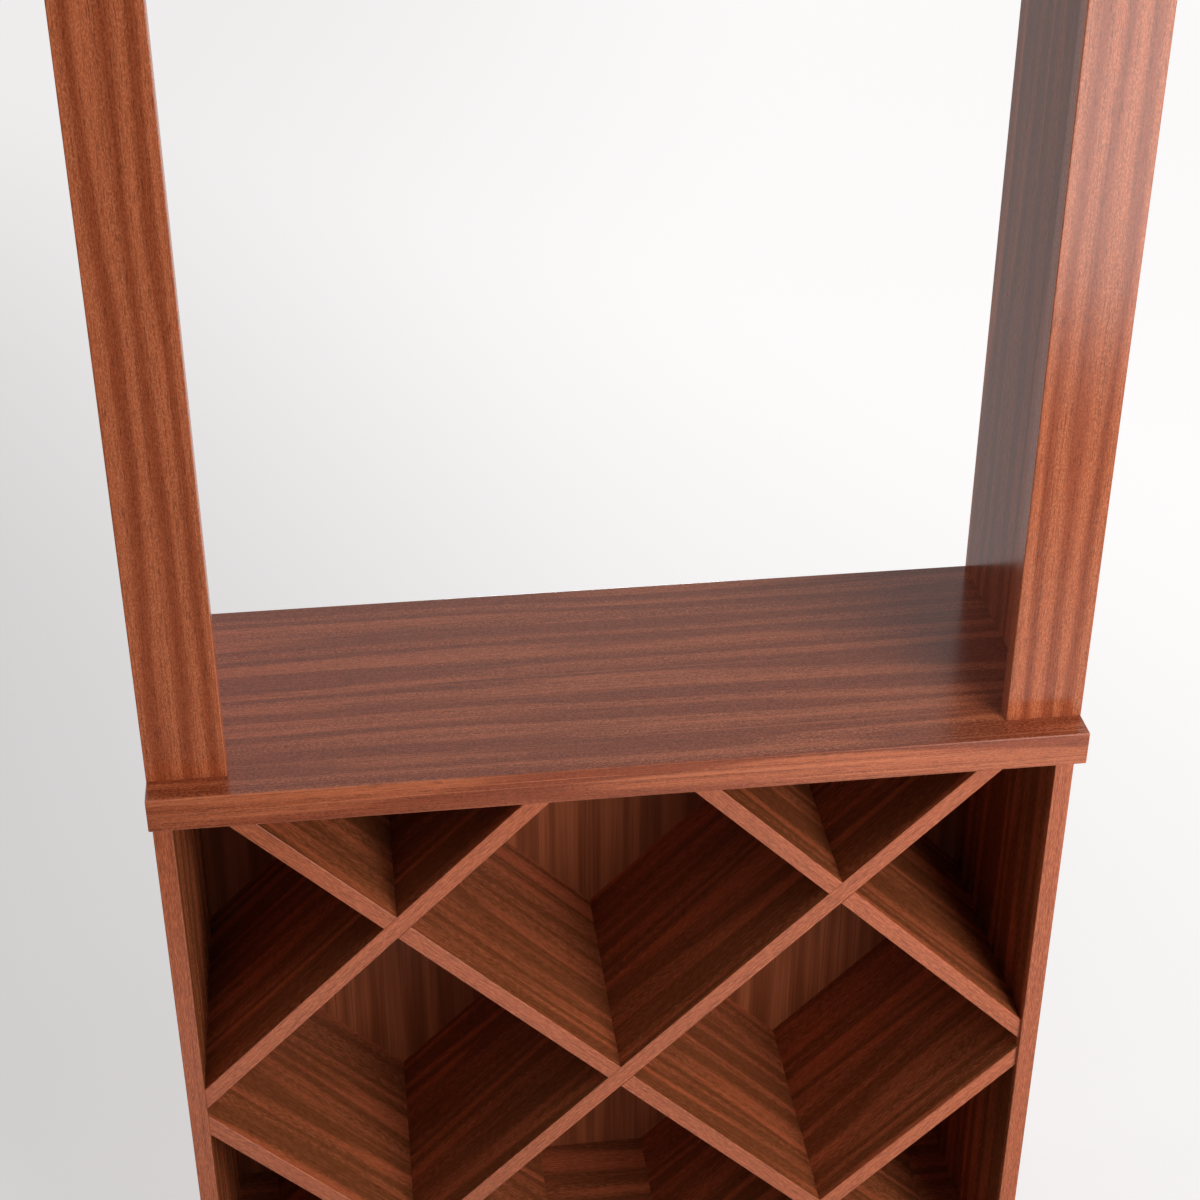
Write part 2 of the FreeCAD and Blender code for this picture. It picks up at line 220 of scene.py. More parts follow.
class Grain(Enum):
    """The way a board's grain runs: the turn in degrees that lays it along a pattern's X axis."""

    ALONG_WIDTH = (0, 0, 0)
    ALONG_DEPTH = (0, 0, -90)
    UPRIGHT = (0, 90, 0)
    RISING = (0, 45, 0)
    FALLING = (0, -45, 0)

    @property
    def turn(self) -> tuple[float, ...]:
        """The turn in radians."""
        return tuple(math.radians(angle) for angle in self.value)

    @property
    def matrix(self) -> np.ndarray:
        """The turn as a matrix."""
        return np.array(Euler(self.turn).to_matrix())


class Heading(Enum):
    """The way a fixing points: a matrix from its axes to the frame's, with Z from tip to tail."""

    RIGHT = ((0, 0, 1), (1, 0, 0), (0, 1, 0))
    REAR = ((0, 1, 0), (0, 0, 1), (1, 0, 0))
    UP = ((1, 0, 0), (0, 1, 0), (0, 0, 1))
    DOWN = ((1, 0, 0), (0, -1, 0), (0, 0, -1))

    @property
    def matrix(self) -> np.ndarray:
        """The matrix as an array."""
        return np.array(self.value, float)


class Sawn(Enum):
    """Which way the ribbons cross a board, as the roll in degrees about its grain."""

    ACROSS_DEPTH = 18
    ACROSS_FACE = 104

    @property
    def turn(self) -> Triple:
        """The roll as a turn in radians."""
        return (math.radians(self.value), 0.0, 0.0)


@dataclass(frozen=True)
class Cut:
    """One board of the station: its node, how its grain runs and where in the log it was sawn."""

    node: str
    grain: Grain
    sawn: Sawn
    log_place: int

    @property
    def offset(self) -> Triple:
        """Where the board's pattern starts, far enough apart that no two boards match."""
        return tuple(step * self.log_place for step in LOG_STEP)

    @property
    def tone(self) -> float:
        """How light the board is beside the others, from 0.95 to 1.05."""
        return 1 + TONE_SPREAD * math.sin(TONE_RATE * self.log_place)

    def box(self) -> tuple[Triple, Triple]:
        """Measure the board along its own grain.

        Returns:
            The middle of the board and half its sizes, both in axes turned with the grain.
        """
        points = node_points(self.node) @ self.grain.matrix.T
        low, high = points.min(axis=0), points.max(axis=0)
        return tuple((low + high) / 2), tuple((high - low) / 2)


@dataclass(frozen=True)
class Figure:
    """One feature of a wood: noise stretched along the grain and cut to a mask.

    The mask is 0 where the noise is under the window and the strength where it is above.
    """

    sizes_mm: Triple
    window: tuple[float, float]
    strength: float = 1.0
    detail: float = 2.0

    def mask(self, tree: Tree, along: Socket) -> Socket:
        """Add the feature to a tree.

        Args:
            tree: The material's node tree.
            along: Coordinates in metres with the grain along X.

        Returns:
            The mask.
        """
        scaled = add_node(tree, "Mapping", {"Vector": along, "Scale": per_metre(*self.sizes_mm)})
        noise = add_node(tree, "TexNoise", {
            "Vector": scaled.outputs[0], "Scale": 1.0, "Detail": self.detail,
        })
        return add_node(tree, "MapRange", {
            "Value": noise.outputs[0],
            "From Min": self.window[0],
            "From Max": self.window[1],
            "To Max": self.strength,
        }, interpolation_type="SMOOTHSTEP").outputs[0]


@dataclass(frozen=True)
class Ribbons:
    """Light and dark bands of interlocked grain: a sine across the grain that wanders along it."""

    spacing_mm: float = 23.0
    wander_mm: float = 900.0
    wander: float = 4.0
    wander_scale: float = 1.9
    wander_detail: float = 2.0
    window: tuple[float, float] = (-0.05, 1.05)

    def mask(self, tree: Tree, along: Socket) -> Socket:
        """Add the bands to a tree.

        Args:
            tree: The material's node tree.
            along: Coordinates in metres with the grain along X.

        Returns:
            A mask that is 0 in the dark bands and 1 in the light ones.
        """
        across = BAND_LENGTH / (self.spacing_mm * MM)
        scaled = add_node(tree, "Mapping", {
            "Vector": along, "Scale": (*per_metre(self.wander_mm), across, across),
        })
        band = add_node(tree, "TexWave", {
            "Vector": scaled.outputs[0],
            "Scale": 1.0,
            "Distortion": self.wander,
            "Detail": self.wander_detail,
            "Detail Scale": self.wander_scale,
        }, bands_direction="Y")
        return add_node(tree, "MapRange", {
            "Value": band.outputs["Fac"],
            "From Min": self.window[0],
            "From Max": self.window[1],
        }, interpolation_type="SMOOTHSTEP").outputs[0]


@dataclass(frozen=True)
class LacqueredMahogany:
    """Quarter-sawn mahogany, filled, stained and rubbed out to a satin-gloss lacquer.

    Interlocked grain gives soft light and dark ribbons along the board, the light ones full of
    short flecks, and open pores leave fine dark dashes. The stain is rubbed thin on the arrises.
    The lacquer lies level over it all and mirrors what is near it, a little blurred.
    """

    dark: str = "#904223"
    light: str = "#AF5C38"
    fleck: str = "#DA835A"
    streak: str = "#602A12"
    pore: str = "#461B0B"
    rubbed: str = "#CC774C"
    ribbons: Ribbons = Ribbons()
    shade: Figure = Figure((520, 9, 9), (0.30, 0.70), 0.2)
    streaks: Figure = Figure((300, 1.6, 1.6), (0.44, 0.72), 0.50, 3.0)
    gleams: Figure | None = None
    # A fleck and a pore are about half as wide on real boards, which is under a pixel here.
    flecks: Figure = Figure((2.8, 1.0, 1.0), (0.42, 0.66), 1.0)
    pores: Figure = Figure((16, 0.9, 0.9), (0.56, 0.70), 0.45, 1.0)
    fleck_shares: tuple[float, float] = (0.18, 0.52)
    # The even tone of an edge that looks across the ribbons, how much of the edge has it, and how
    # many of the flecks show there. The tone is set light and the dark shade figure is kept off
    # such edges, so front edges render lighter than faces: partly grain, partly painted light.
    edge_tone_with_painted_light: float = 0.95
    edge_share: float = 0.85
    edge_fleck_share: float = 1.0
    arris_mm: float = 1.1
    arris_share: float = 0.18
    # How far the surface turns from a face to an edge, and from a side to a sawn end, as the size
    # of its normal across the ribbons and along the grain.
    edge_window: tuple[float, float] = (0.6, 0.9)
    end_window: tuple[float, float] = (0.75, 0.97)
    end_share: float = 0.5
    roughness: tuple[float, float] = (0.42, 0.55)
    pore_bump: float = 0.25
    pore_depth_mm: float = 0.08
    coat: float = 0.68
    coat_roughness: float = 0.2

    def material(self, cut: Cut) -> Material:
        """Make the finish for one board.

        Args:
            cut: The board.

        Returns:
            A material whose pattern follows the board's own grain.
        """
        material, tree = bare_material(f"lacquered_mahogany_{cut.node}")
        place = add_node(tree, "TexCoord", {})
        board = add_node(tree, "Mapping", {
            "Vector": place.outputs["Object"], "Rotation": cut.grain.turn,
        }).outputs[0]
        along = add_node(tree, "Mapping", {
            "Vector": board, "Rotation": cut.sawn.turn, "Location": cut.offset,
        }).outputs[0]
        face, end = self.facing(tree, cut, place.outputs["Normal"])
        # Faces take the ribbons and the dark shade figure, and edges take an even, lighter tone:
        # partly grain, partly painted light on the front edges and painted shade on the faces
        # inside the bins.
        face_figure_and_painted_shade = add_node(tree, "MapRange", {0: face, "To Min": 1 - self.edge_share}).outputs[0]
        flecked = add_node(tree, "MapRange", {0: face, "To Min": self.edge_fleck_share}).outputs[0]
        ribbon = add_node(tree, "Mix", {
            MIX_SHARE: face_figure_and_painted_shade, MIX_LOW: self.edge_tone_with_painted_light, MIX_HIGH: self.ribbons.mask(tree, along),
        }, data_type="FLOAT").outputs[0]
        shade = add_node(tree, "Math", {
            0: self.shade.mask(tree, along), 1: face_figure_and_painted_shade,
        }, operation="MULTIPLY").outputs[0]
        streak = self.streaks.mask(tree, along)
        pore = self.pores.mask(tree, along)
        fleck_share = add_node(tree, "MapRange", {
            "Value": ribbon, "To Min": self.fleck_shares[0], "To Max": self.fleck_shares[1],
        })
        fleck = self.flecks.mask(tree, along)
        for share in (fleck_share.outputs[0], flecked):
            fleck = add_node(tree, "Math", {0: fleck, 1: share}, operation="MULTIPLY").outputs[0]
        gleams = [(self.gleams.mask(tree, along), self.fleck)] if self.gleams else []
        layers = [
            (ribbon, self.light),
            (shade, self.dark),
            (streak, self.streak),
            *gleams,
            (fleck, self.fleck),
            (pore, self.pore),
            (end, self.streak),
            (self.arris(tree, cut, board), self.rubbed),
        ]
        stained = [(mask, linear(stain, cut.tone)) for mask, stain in layers]
        colour = paint_layers(tree, linear(self.dark, cut.tone), stained)
        bump = add_node(tree, "Bump", {
            "Height": pore, "Strength": self.pore_bump, "Distance": self.pore_depth_mm * MM,
        }, invert=True)
        rough = add_node(tree, "MapRange", {
            0: streak, "To Min": self.roughness[0], "To Max": self.roughness[1],
        })
        shader = add_node(tree, "BsdfPrincipled", {
            "Base Color": colour,
            "Roughness": rough.outputs[0],
            "Normal": bump.outputs[0],
            "IOR": RESIN_IOR,
            "Specular IOR Level": 0.0,
            "Coat Weight": self.coat,
            "Coat Roughness": self.coat_roughness,
            "Coat IOR": RESIN_IOR,
        })
        add_node(tree, "OutputMaterial", {0: shader.outputs[0]})
        return material

    def facing(self, tree: Tree, cut: Cut, normal: Socket) -> tuple[Socket, Socket]:
        """Tell faces, edges and sawn ends apart by the way the surface faces.

        An edge that looks across the ribbons is nearly even, and an end that looks along the grain
        drinks the stain. The even edge tone is set lighter than the faces, which is partly painted
        light.

        Args:
            tree: The material's node tree.
            cut: The board.
            normal: The way the surface faces.

        Returns:
            A mask that is 1 on a face that shows the ribbons and 0 on such an edge, and a mask of
            the ends.
        """
        board = add_node(tree, "Mapping", {"Vector": normal, "Rotation": cut.grain.turn})
        rolled = add_node(tree, "Mapping", {
            "Vector": board.outputs[0], "Rotation": cut.sawn.turn,
        })
        size = add_node(tree, "VectorMath", {0: rolled.outputs[0]}, operation="ABSOLUTE")
        along, across, _ = add_node(tree, "SeparateXYZ", {0: size.outputs[0]}).outputs
        face = add_node(tree, "MapRange", {
            0: across,
            "From Min": self.edge_window[0],
            "From Max": self.edge_window[1],
            "To Min": 1.0,
            "To Max": 0.0,
        })
        end = add_node(tree, "MapRange", {
            0: along,
            "From Min": self.end_window[0],
            "From Max": self.end_window[1],
            "To Max": self.end_share,
        })
        return face.outputs[0], end.outputs[0]

    def arris(self, tree: Tree, cut: Cut, place: Socket) -> Socket:
        """Mask the arrises: where a point lies near two of the three pairs of faces of its board.

        The depths below the three pairs of faces are half the board's size less the distance from
        its middle. The middle one of the three is small only along an arris.

        Args:
            tree: The material's node tree.
            cut: The board.
            place: Coordinates turned with the grain.

        Returns:
            The mask.
        """
        middle, half = cut.box()
        out = add_node(tree, "VectorMath", {0: place, 1: middle}, operation="SUBTRACT")
        out = add_node(tree, "VectorMath", {0: out.outputs[0]}, operation="ABSOLUTE")
        depth = add_node(tree, "VectorMath", {0: half, 1: out.outputs[0]}, operation="SUBTRACT")
        one, two, three = add_node(tree, "SeparateXYZ", {0: depth.outputs[0]}).outputs
        most = add_node(tree, "Math", {0: one, 1: two}, operation="MAXIMUM")
        least = add_node(tree, "Math", {0: one, 1: two}, operation="MINIMUM")
        inner = add_node(tree, "Math", {0: least.outputs[0], 1: three}, operation="MAXIMUM")
        second = add_node(tree, "Math", {
            0: most.outputs[0], 1: inner.outputs[0],
        }, operation="MINIMUM")
        return add_node(tree, "MapRange", {
            0: second.outputs[0],
            "From Min": 0.0,
            "From Max": self.arris_mm * MM,
            "To Min": self.arris_share,
            "To Max": 0.0,
        }, interpolation_type="SMOOTHSTEP").outputs[0]


@dataclass(frozen=True)
class VeneeredPlywood:
    """Thin plywood faced with sliced mahogany veneer, with one thin coat of lacquer.

    The leaves are book-matched, so the figure mirrors at each seam, and the surface is duller
    and flatter than the solid boards.
    """

    dark: str = "#7C3D1E"
    light: str = "#A45A37"
    line: str = "#54260F"
    seam: str = "#4A2210"
    leaf_mm: float = 152.4
    seam_mm: float = 0.8
    seam_share: float = 0.7
    crowns: Figure = Figure((420, 13, 13), (0.35, 0.68))
    lines: Figure = Figure((180, 1.8, 1.8), (0.48, 0.72), 0.45, 3.0)
    roughness: tuple[float, float] = (0.5, 0.62)
    line_bump: float = 0.2
    line_depth_mm: float = 0.06
    specular: float = 0.3
    coat: float = 0.3
    coat_roughness: float = 0.3

    def material(self, grain: Grain) -> Material:
        """Make the finish.

        Args:
            grain: The way the leaves run.

        Returns:
            The material.
        """
        material, tree = bare_material("mahogany_veneered_plywood")
        place = add_node(tree, "TexCoord", {})
        parts = add_node(tree, "SeparateXYZ", {0: place.outputs["Object"]})
        leaf = add_node(tree, "Math", {
            0: parts.outputs[0], 1: self.leaf_mm * MM,
        }, operation="PINGPONG").outputs[0]
        matched = add_node(tree, "CombineXYZ", {0: leaf, 1: parts.outputs[1], 2: parts.outputs[2]})
        along = add_node(tree, "Mapping", {
            "Vector": matched.outputs[0], "Rotation": grain.turn,
        }).outputs[0]
        line = self.lines.mask(tree, along)
        near = add_node(tree, "MapRange", {
            0: leaf,
            "From Min": 0.0,
            "From Max": self.seam_mm * MM,
            "To Min": self.seam_share,
            "To Max": 0.0,
        })
        colour = paint_layers(tree, linear(self.dark), [
            (self.crowns.mask(tree, along), linear(self.light)),
            (line, linear(self.line)),
            (near.outputs[0], linear(self.seam)),
        ])
        bump = add_node(tree, "Bump", {
            "Height": line, "Strength": self.line_bump, "Distance": self.line_depth_mm * MM,
        }, invert=True)
        rough = add_node(tree, "MapRange", {
            0: line, "To Min": self.roughness[0], "To Max": self.roughness[1],
        })
        shader = add_node(tree, "BsdfPrincipled", {
            "Base Color": colour,
            "Roughness": rough.outputs[0],
            "Normal": bump.outputs[0],
            "IOR": RESIN_IOR,
            "Specular IOR Level": self.specular,
            "Coat Weight": self.coat,
            "Coat Roughness": self.coat_roughness,
            "Coat IOR": RESIN_IOR,
        })
        add_node(tree, "OutputMaterial", {0: shader.outputs[0]})
        return material


@dataclass(frozen=True)
class BareWood:
    """Unfinished joinery wood: a pale ground, growth lines and short flecks, with no gloss."""

    name: str
    ground: str
    line: str
    fleck: str
    lines: Figure
    flecks: Figure
    roughness: tuple[float, float]
    relief_mm: float
    bump: float = 0.5
    specular: float = 0.35

    def material(self, grain: Grain) -> Material:
        """Make the wood with its grain one way.

        Args:
            grain: The way the grain runs.

        Returns:
            The material.
        """
        material, tree = bare_material(f"{self.name}_{grain.name.lower()}")
        place = add_node(tree, "TexCoord", {})
        along = add_node(tree, "Mapping", {
            "Vector": place.outputs["Object"], "Rotation": grain.turn,
        }).outputs[0]
        line = self.lines.mask(tree, along)
        colour = paint_layers(tree, linear(self.ground), [
            (line, linear(self.line)),
            (self.flecks.mask(tree, along), linear(self.fleck)),
        ])
        bump = add_node(tree, "Bump", {
            "Height": line, "Strength": self.bump, "Distance": self.relief_mm * MM,
        })
        rough = add_node(tree, "MapRange", {
            0: line, "To Min": self.roughness[0], "To Max": self.roughness[1],
        })
        shader = add_node(tree, "BsdfPrincipled", {
            "Base Color": colour,
            "Roughness": rough.outputs[0],
            "Normal": bump.outputs[0],
            "IOR": RESIN_IOR,
            "Specular IOR Level": self.specular,
        })
        add_node(tree, "OutputMaterial", {0: shader.outputs[0]})
        return material


# Turned beech: pinkish straw with the short brown dashes of its rays, smooth and dull.
BEECH = BareWood(
    "turned_beech", "#CFA97C", "#B98C5E", "#94683F",
    Figure((60, 1.6, 1.6), (0.42, 0.66), 0.5),
    Figure((2.6, 0.5, 0.5), (0.60, 0.70), 0.6),
    (0.55, 0.68), 0.05,
)
# Sawn poplar: greenish straw with broad soft streaks, furry from the saw.
POPLAR = BareWood(
    "sawn_poplar", "#C9B78C", "#A99A6C", "#8E8458",
    Figure((140, 6.0, 6.0), (0.40, 0.68), 0.7),
    Figure((9.0, 0.8, 0.8), (0.58, 0.70), 0.4),
    (0.72, 0.85), 0.15,
)


@dataclass(frozen=True)
class ZincPlatedSteel:
    """Steel, zinc plated and clear passivated: blue-grey, faintly clouded and half bright."""

    bright: str = "#C9CCD0"
    cloud: str = "#A9ABA6"
    clouds: Figure = Figure((1.8, 1.8, 1.8), (0.38, 0.66))
    roughness: tuple[float, float] = (0.26, 0.42)

    def material(self) -> Material:
        """Make the finish.

        Returns:
            The material.
        """
        material, tree = bare_material("zinc_plated_steel")
        place = add_node(tree, "TexCoord", {})
        clouds = self.clouds.mask(tree, place.outputs["Object"])
        colour = paint_layers(tree, linear(self.bright), [(clouds, linear(self.cloud))])
        rough = add_node(tree, "MapRange", {
            0: clouds, "To Min": self.roughness[0], "To Max": self.roughness[1],
        })
        shader = add_node(tree, "BsdfPrincipled", {
            "Base Color": colour, "Metallic": 1.0, "Roughness": rough.outputs[0],
        })
        add_node(tree, "OutputMaterial", {0: shader.outputs[0]})
        return material


def dress(node: str, material: Material) -> Thing:
    """Give a node a finish.

    Args:
        node: The node's name.
        material: The finish.

    Returns:
        The node's object.
    """
    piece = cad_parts[node]
    piece.data.materials.clear()
    piece.data.materials.append(material)
    return piece


@dataclass
class Uprights:
    """The open frame over the counter: narrow stiles and rails, wide uprights and top panel."""

    narrow_finish: LacqueredMahogany
    wide_finish: LacqueredMahogany
    narrow_cuts: tuple[Cut, ...] = (
        Cut("stile_left", Grain.UPRIGHT, Sawn.ACROSS_FACE, 3),
        Cut("stile_right", Grain.UPRIGHT, Sawn.ACROSS_FACE, 5),
        Cut("header_rail", Grain.ALONG_WIDTH, Sawn.ACROSS_FACE, 14),
        Cut("rear_rail", Grain.ALONG_WIDTH, Sawn.ACROSS_FACE, 17),
    )
    wide_cuts: tuple[Cut, ...] = (
        Cut("upright_left", Grain.UPRIGHT, Sawn.ACROSS_DEPTH, 8),
        Cut("upright_right", Grain.UPRIGHT, Sawn.ACROSS_DEPTH, 11),
        Cut("top_panel", Grain.ALONG_WIDTH, Sawn.ACROSS_DEPTH, 15),
    )

    def build(self) -> Iterator[Thing]:
        """Dress the boards.

        Returns:
            The boards, one after another.
        """
        for cut in self.narrow_cuts:
            yield dress(cut.node, self.narrow_finish.material(cut))
        for cut in self.wide_cuts:
            yield dress(cut.node, self.wide_finish.material(cut))


@dataclass
class Counter:
    """The thick tabletop."""

    finish: LacqueredMahogany
    cut: Cut = Cut("tabletop", Grain.ALONG_WIDTH, Sawn.ACROSS_DEPTH, 52)

    def build(self) -> Iterator[Thing]:
        """Dress the slab and yield it."""
        yield dress(self.cut.node, self.finish.material(self.cut))


@dataclass
class BinLattice:
    """The crossed boards that make the diamond bins."""

    finish: LacqueredMahogany
    cuts: tuple[Cut, ...] = (
        Cut("slat_rise_upper", Grain.RISING, Sawn.ACROSS_DEPTH, 24),
        Cut("slat_rise_long", Grain.RISING, Sawn.ACROSS_DEPTH, 26),
        Cut("slat_rise_lower", Grain.RISING, Sawn.ACROSS_DEPTH, 29),
        Cut("slat_fall_upper", Grain.FALLING, Sawn.ACROSS_DEPTH, 31),
        Cut("slat_fall_long", Grain.FALLING, Sawn.ACROSS_DEPTH, 33),
        Cut("slat_fall_lower", Grain.FALLING, Sawn.ACROSS_DEPTH, 36),
    )

    def build(self) -> Iterator[Thing]:
        """Dress the boards and yield them."""
        for cut in self.cuts:
            yield dress(cut.node, self.finish.material(cut))


@dataclass
class BaseCabinet:
    """The case round the bins, its back and its plinth."""

    finish: LacqueredMahogany
    back_finish: VeneeredPlywood
    cuts: tuple[Cut, ...] = (
        Cut("base_side_left", Grain.UPRIGHT, Sawn.ACROSS_DEPTH, 39),
        Cut("base_side_right", Grain.UPRIGHT, Sawn.ACROSS_DEPTH, 41),
        Cut("base_deck", Grain.ALONG_WIDTH, Sawn.ACROSS_DEPTH, 44),
        Cut("base_sub_top", Grain.ALONG_WIDTH, Sawn.ACROSS_DEPTH, 46),
        Cut("toe_kick", Grain.ALONG_WIDTH, Sawn.ACROSS_FACE, 47),
        Cut("plinth_rail", Grain.ALONG_WIDTH, Sawn.ACROSS_FACE, 49),
    )

    def build(self) -> Iterator[Thing]:
        """Dress the boards, the back panel and the glue blocks.

        Returns:
            The pieces, one after another.
        """
        for cut in self.cuts:
            yield dress(cut.node, self.finish.material(cut))
        yield dress("base_back", self.back_finish.material(Grain.UPRIGHT))
        yield dress("plinth_glue_blocks", POPLAR.material(Grain.UPRIGHT))


@dataclass(frozen=True)
class FlutedDowel:
    """A beech dowel with glue flutes along it and chamfered ends."""

    flutes: int = 16
    points_per_flute: int = 4
    flute_mm: float = 0.35
    chamfer_mm: float = 1.0

    def rows(self, length: float, radius: float) -> np.ndarray:
        """Work out the dowel's surface.

        The radius at an angle is the dowel's radius less a flute, which goes from nothing to its
        full depth and back as a cosine of the angle. The two end rows are smaller by the chamfer.

        Args:
            length: The dowel's length.
            radius: The dowel's radius.

        Returns:
            Points in rows from end to end, about the Z axis.
        """
        chamfer = self.chamfer_mm * MM
        height = np.array((0, chamfer, length - chamfer, length))
        inset = np.array((chamfer, 0, 0, chamfer))
        angle = np.linspace(0, FULL_TURN, self.flutes * self.points_per_flute, endpoint=False)
        flute = self.flute_mm * MM * (1 - np.cos(self.flutes * angle)) / 2
        reach = radius - inset[:, None] - flute
        return turned(reach, np.broadcast_to(height[:, None], reach.shape), angle)


@dataclass(frozen=True)
class PanHeadScrew:
    """A self-tapping screw with a point, a thread, a pan head and a cross recess."""

    shank_mm: float
    head_height_mm: float
    pitch_mm: float
    steps_per_turn: int = 6
    columns: int = 32
    rim_points: int = 5
    point_shanks: float = 1.2
    thread_share: float = 0.26
    ridge_share: float = 0.3
    point_share: float = 0.08
    crown_share: float = 0.35
    arm_share: float = 0.55
    slot_share: float = 0.13
    recess_share: float = 0.6
    floor_share: float = 0.7
    middle_share: float = 0.1

    def rows(self, length: float, radius: float) -> np.ndarray:
        """Work out the screw's surface from its point to the bottom of its recess.

        Along the shank the radius is the core's plus a ridge that follows a helix: a ridge stands
        where height over pitch, less the angle's share of a turn, is near a whole number and a
        half. The point tapers as a parabola. The head is a short cylinder with a quarter circle
        at its rim, and its recess is a cross: along each arm the edge is straight across at the
        arm's length, and beside it at half the slot's width. Its floor is the same cross, smaller.

        Args:
            length: The screw's whole length.
            radius: The head's radius.

        Returns:
            Points in rows from point to recess, about the Z axis.
        """
        shank, pitch = self.shank_mm * MM / 2, self.pitch_mm * MM
        seat = length - self.head_height_mm * MM
        angle = np.linspace(0, FULL_TURN, self.columns, endpoint=False)
        height = np.linspace(0, seat, round(self.steps_per_turn * seat / pitch))[:, None]
        off_ridge = np.abs((height / pitch - angle / FULL_TURN) % 1 - 0.5)
        ridge = np.clip(1 - off_ridge / self.ridge_share, 0, 1)
        taper = np.clip(height / (2 * shank * self.point_shanks), 0, 1)
        taper = self.point_share + (1 - self.point_share) * (1 - (1 - taper) ** 2)
        shaft = shank * taper * (1 - self.thread_share * (1 - ridge))
        bend = np.linspace(0, FULL_TURN / 4, self.rim_points)
        crown = self.crown_share * self.head_height_mm * MM
        rim = radius - crown * (1 - np.cos(bend))
        rim_height = length - crown * (1 - np.sin(bend))
        off_arm = np.abs((angle + FULL_TURN / 8) % (FULL_TURN / 4) - FULL_TURN / 8)
        arm, slot = self.arm_share * radius, self.slot_share * radius
        cross = np.minimum(arm / np.cos(off_arm), slot / np.maximum(np.sin(off_arm), slot / radius))
        floor = length - self.recess_share * self.head_height_mm * MM
        flat = np.ones((1, self.columns))
        reach = np.vstack((
            shaft, shank * flat, radius * flat, rim[:, None] * flat,
            cross, self.floor_share * cross, self.middle_share * cross,
        ))
        rise = np.vstack((
            height * flat, seat * flat, seat * flat, rim_height[:, None] * flat,
            length * flat, floor * flat, floor * flat,
        ))
        return turned(reach, rise, angle)


def turned(reach: np.ndarray, height: np.ndarray, angle: np.ndarray) -> np.ndarray:
    """Place points about the Z axis: X and Y are the reach times the angle's cosine and sine.

    Args:
        reach: Distances from the axis, in rows.
        height: Heights along the axis, in rows.
        angle: The angle of each column.

    Returns:
        The points, as an array of rows by columns by 3.
    """
    return np.stack((reach * np.cos(angle), reach * np.sin(angle), height), axis=-1)


@dataclass
class Fixings:
    """The dowels and screws that hold the station together, each where its solid is."""

    beech: BareWood
    zinc: ZincPlatedSteel
    dowel: FlutedDowel = FlutedDowel()
    dowels: tuple[tuple[str, Heading, Grain], ...] = (
        ("case_dowels", Heading.RIGHT, Grain.ALONG_WIDTH),
        ("header_dowels", Heading.RIGHT, Grain.ALONG_WIDTH),
        ("rear_rail_dowels", Heading.RIGHT, Grain.ALONG_WIDTH),
        ("stile_foot_dowels", Heading.UP, Grain.UPRIGHT),
        ("upright_foot_dowels", Heading.UP, Grain.UPRIGHT),
        ("upright_head_dowels", Heading.UP, Grain.UPRIGHT),
        ("stile_edge_dowels", Heading.REAR, Grain.ALONG_DEPTH),
    )
    screws: tuple[tuple[str, Heading, PanHeadScrew], ...] = (
        ("back_screws", Heading.REAR, PanHeadScrew(3.5, 2.2, 1.4)),
        ("tabletop_screws", Heading.DOWN, PanHeadScrew(4.2, 3.0, 1.8)),
    )
    crease_deg: float = 32.0

    def build(self) -> Iterator[Thing]:
        """Make the dowels and screws.

        Returns:
            The groups of them, one after another.
        """
        woods = {grain: self.beech.material(grain) for _, _, grain in self.dowels}
        for node, heading, grain in self.dowels:
            yield self.group(node, heading, self.dowel, woods[grain])
        plated = self.zinc.material()
        for node, heading, screw in self.screws:
            yield self.group(node, heading, screw, plated)

    def group(
        self,
        node: str,
        heading: Heading,
        shape: FlutedDowel | PanHeadScrew,
        material: Material,
    ) -> Thing:
        """Make one piece of all the fixings in a node.

        The rows of one fixing become quads between neighbouring points, and its first and last row
        one face each. Every copy is the same rows turned by the heading and moved to its solid.

        Args:
            node: The node that holds their solids.
            heading: The way they point.
            shape: The fixing.
            material: Its finish.

        Returns:
            The piece, which stands for the node.
        """
        boxes = solid_boxes(node)
        sizes = (boxes[0, 1] - boxes[0, 0]) @ np.abs(heading.matrix)
        rows = shape.rows(length=sizes[2], radius=sizes[0] / 2)
        tips = boxes.mean(axis=1) - heading.matrix[:, 2] * sizes[2] / 2
        points = rows.reshape(-1, 3) @ heading.matrix.T + tips[:, None]
        index = np.arange(rows.shape[0] * rows.shape[1]).reshape(rows.shape[:2])
        ahead = np.roll(index, -1, axis=1)
        quads = np.stack((index[:-1], ahead[:-1], ahead[1:], index[1:]), axis=-1).reshape(-1, 4)
        ends = np.stack((index[0, ::-1], index[-1]))
        first = np.arange(len(boxes))[:, None, None] * index.size
        faces = (first + quads).reshape(-1, 4).tolist()
        faces += (first + ends).reshape(-1, index.shape[1]).tolist()
        mesh = bpy.data.meshes.new(f"{node}_cut")
        mesh.from_pydata(points.reshape(-1, 3), [], faces)
        mesh.polygons.foreach_set("use_smooth", np.ones(len(mesh.polygons), bool))
        mesh.set_sharp_from_angle(angle=math.radians(self.crease_deg))
        mesh.materials.append(material)
        piece = bpy.data.objects.new(mesh.name, mesh)
        bpy.context.scene.collection.objects.link(piece)
        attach(piece, BODY)
        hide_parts(node)
        return piece


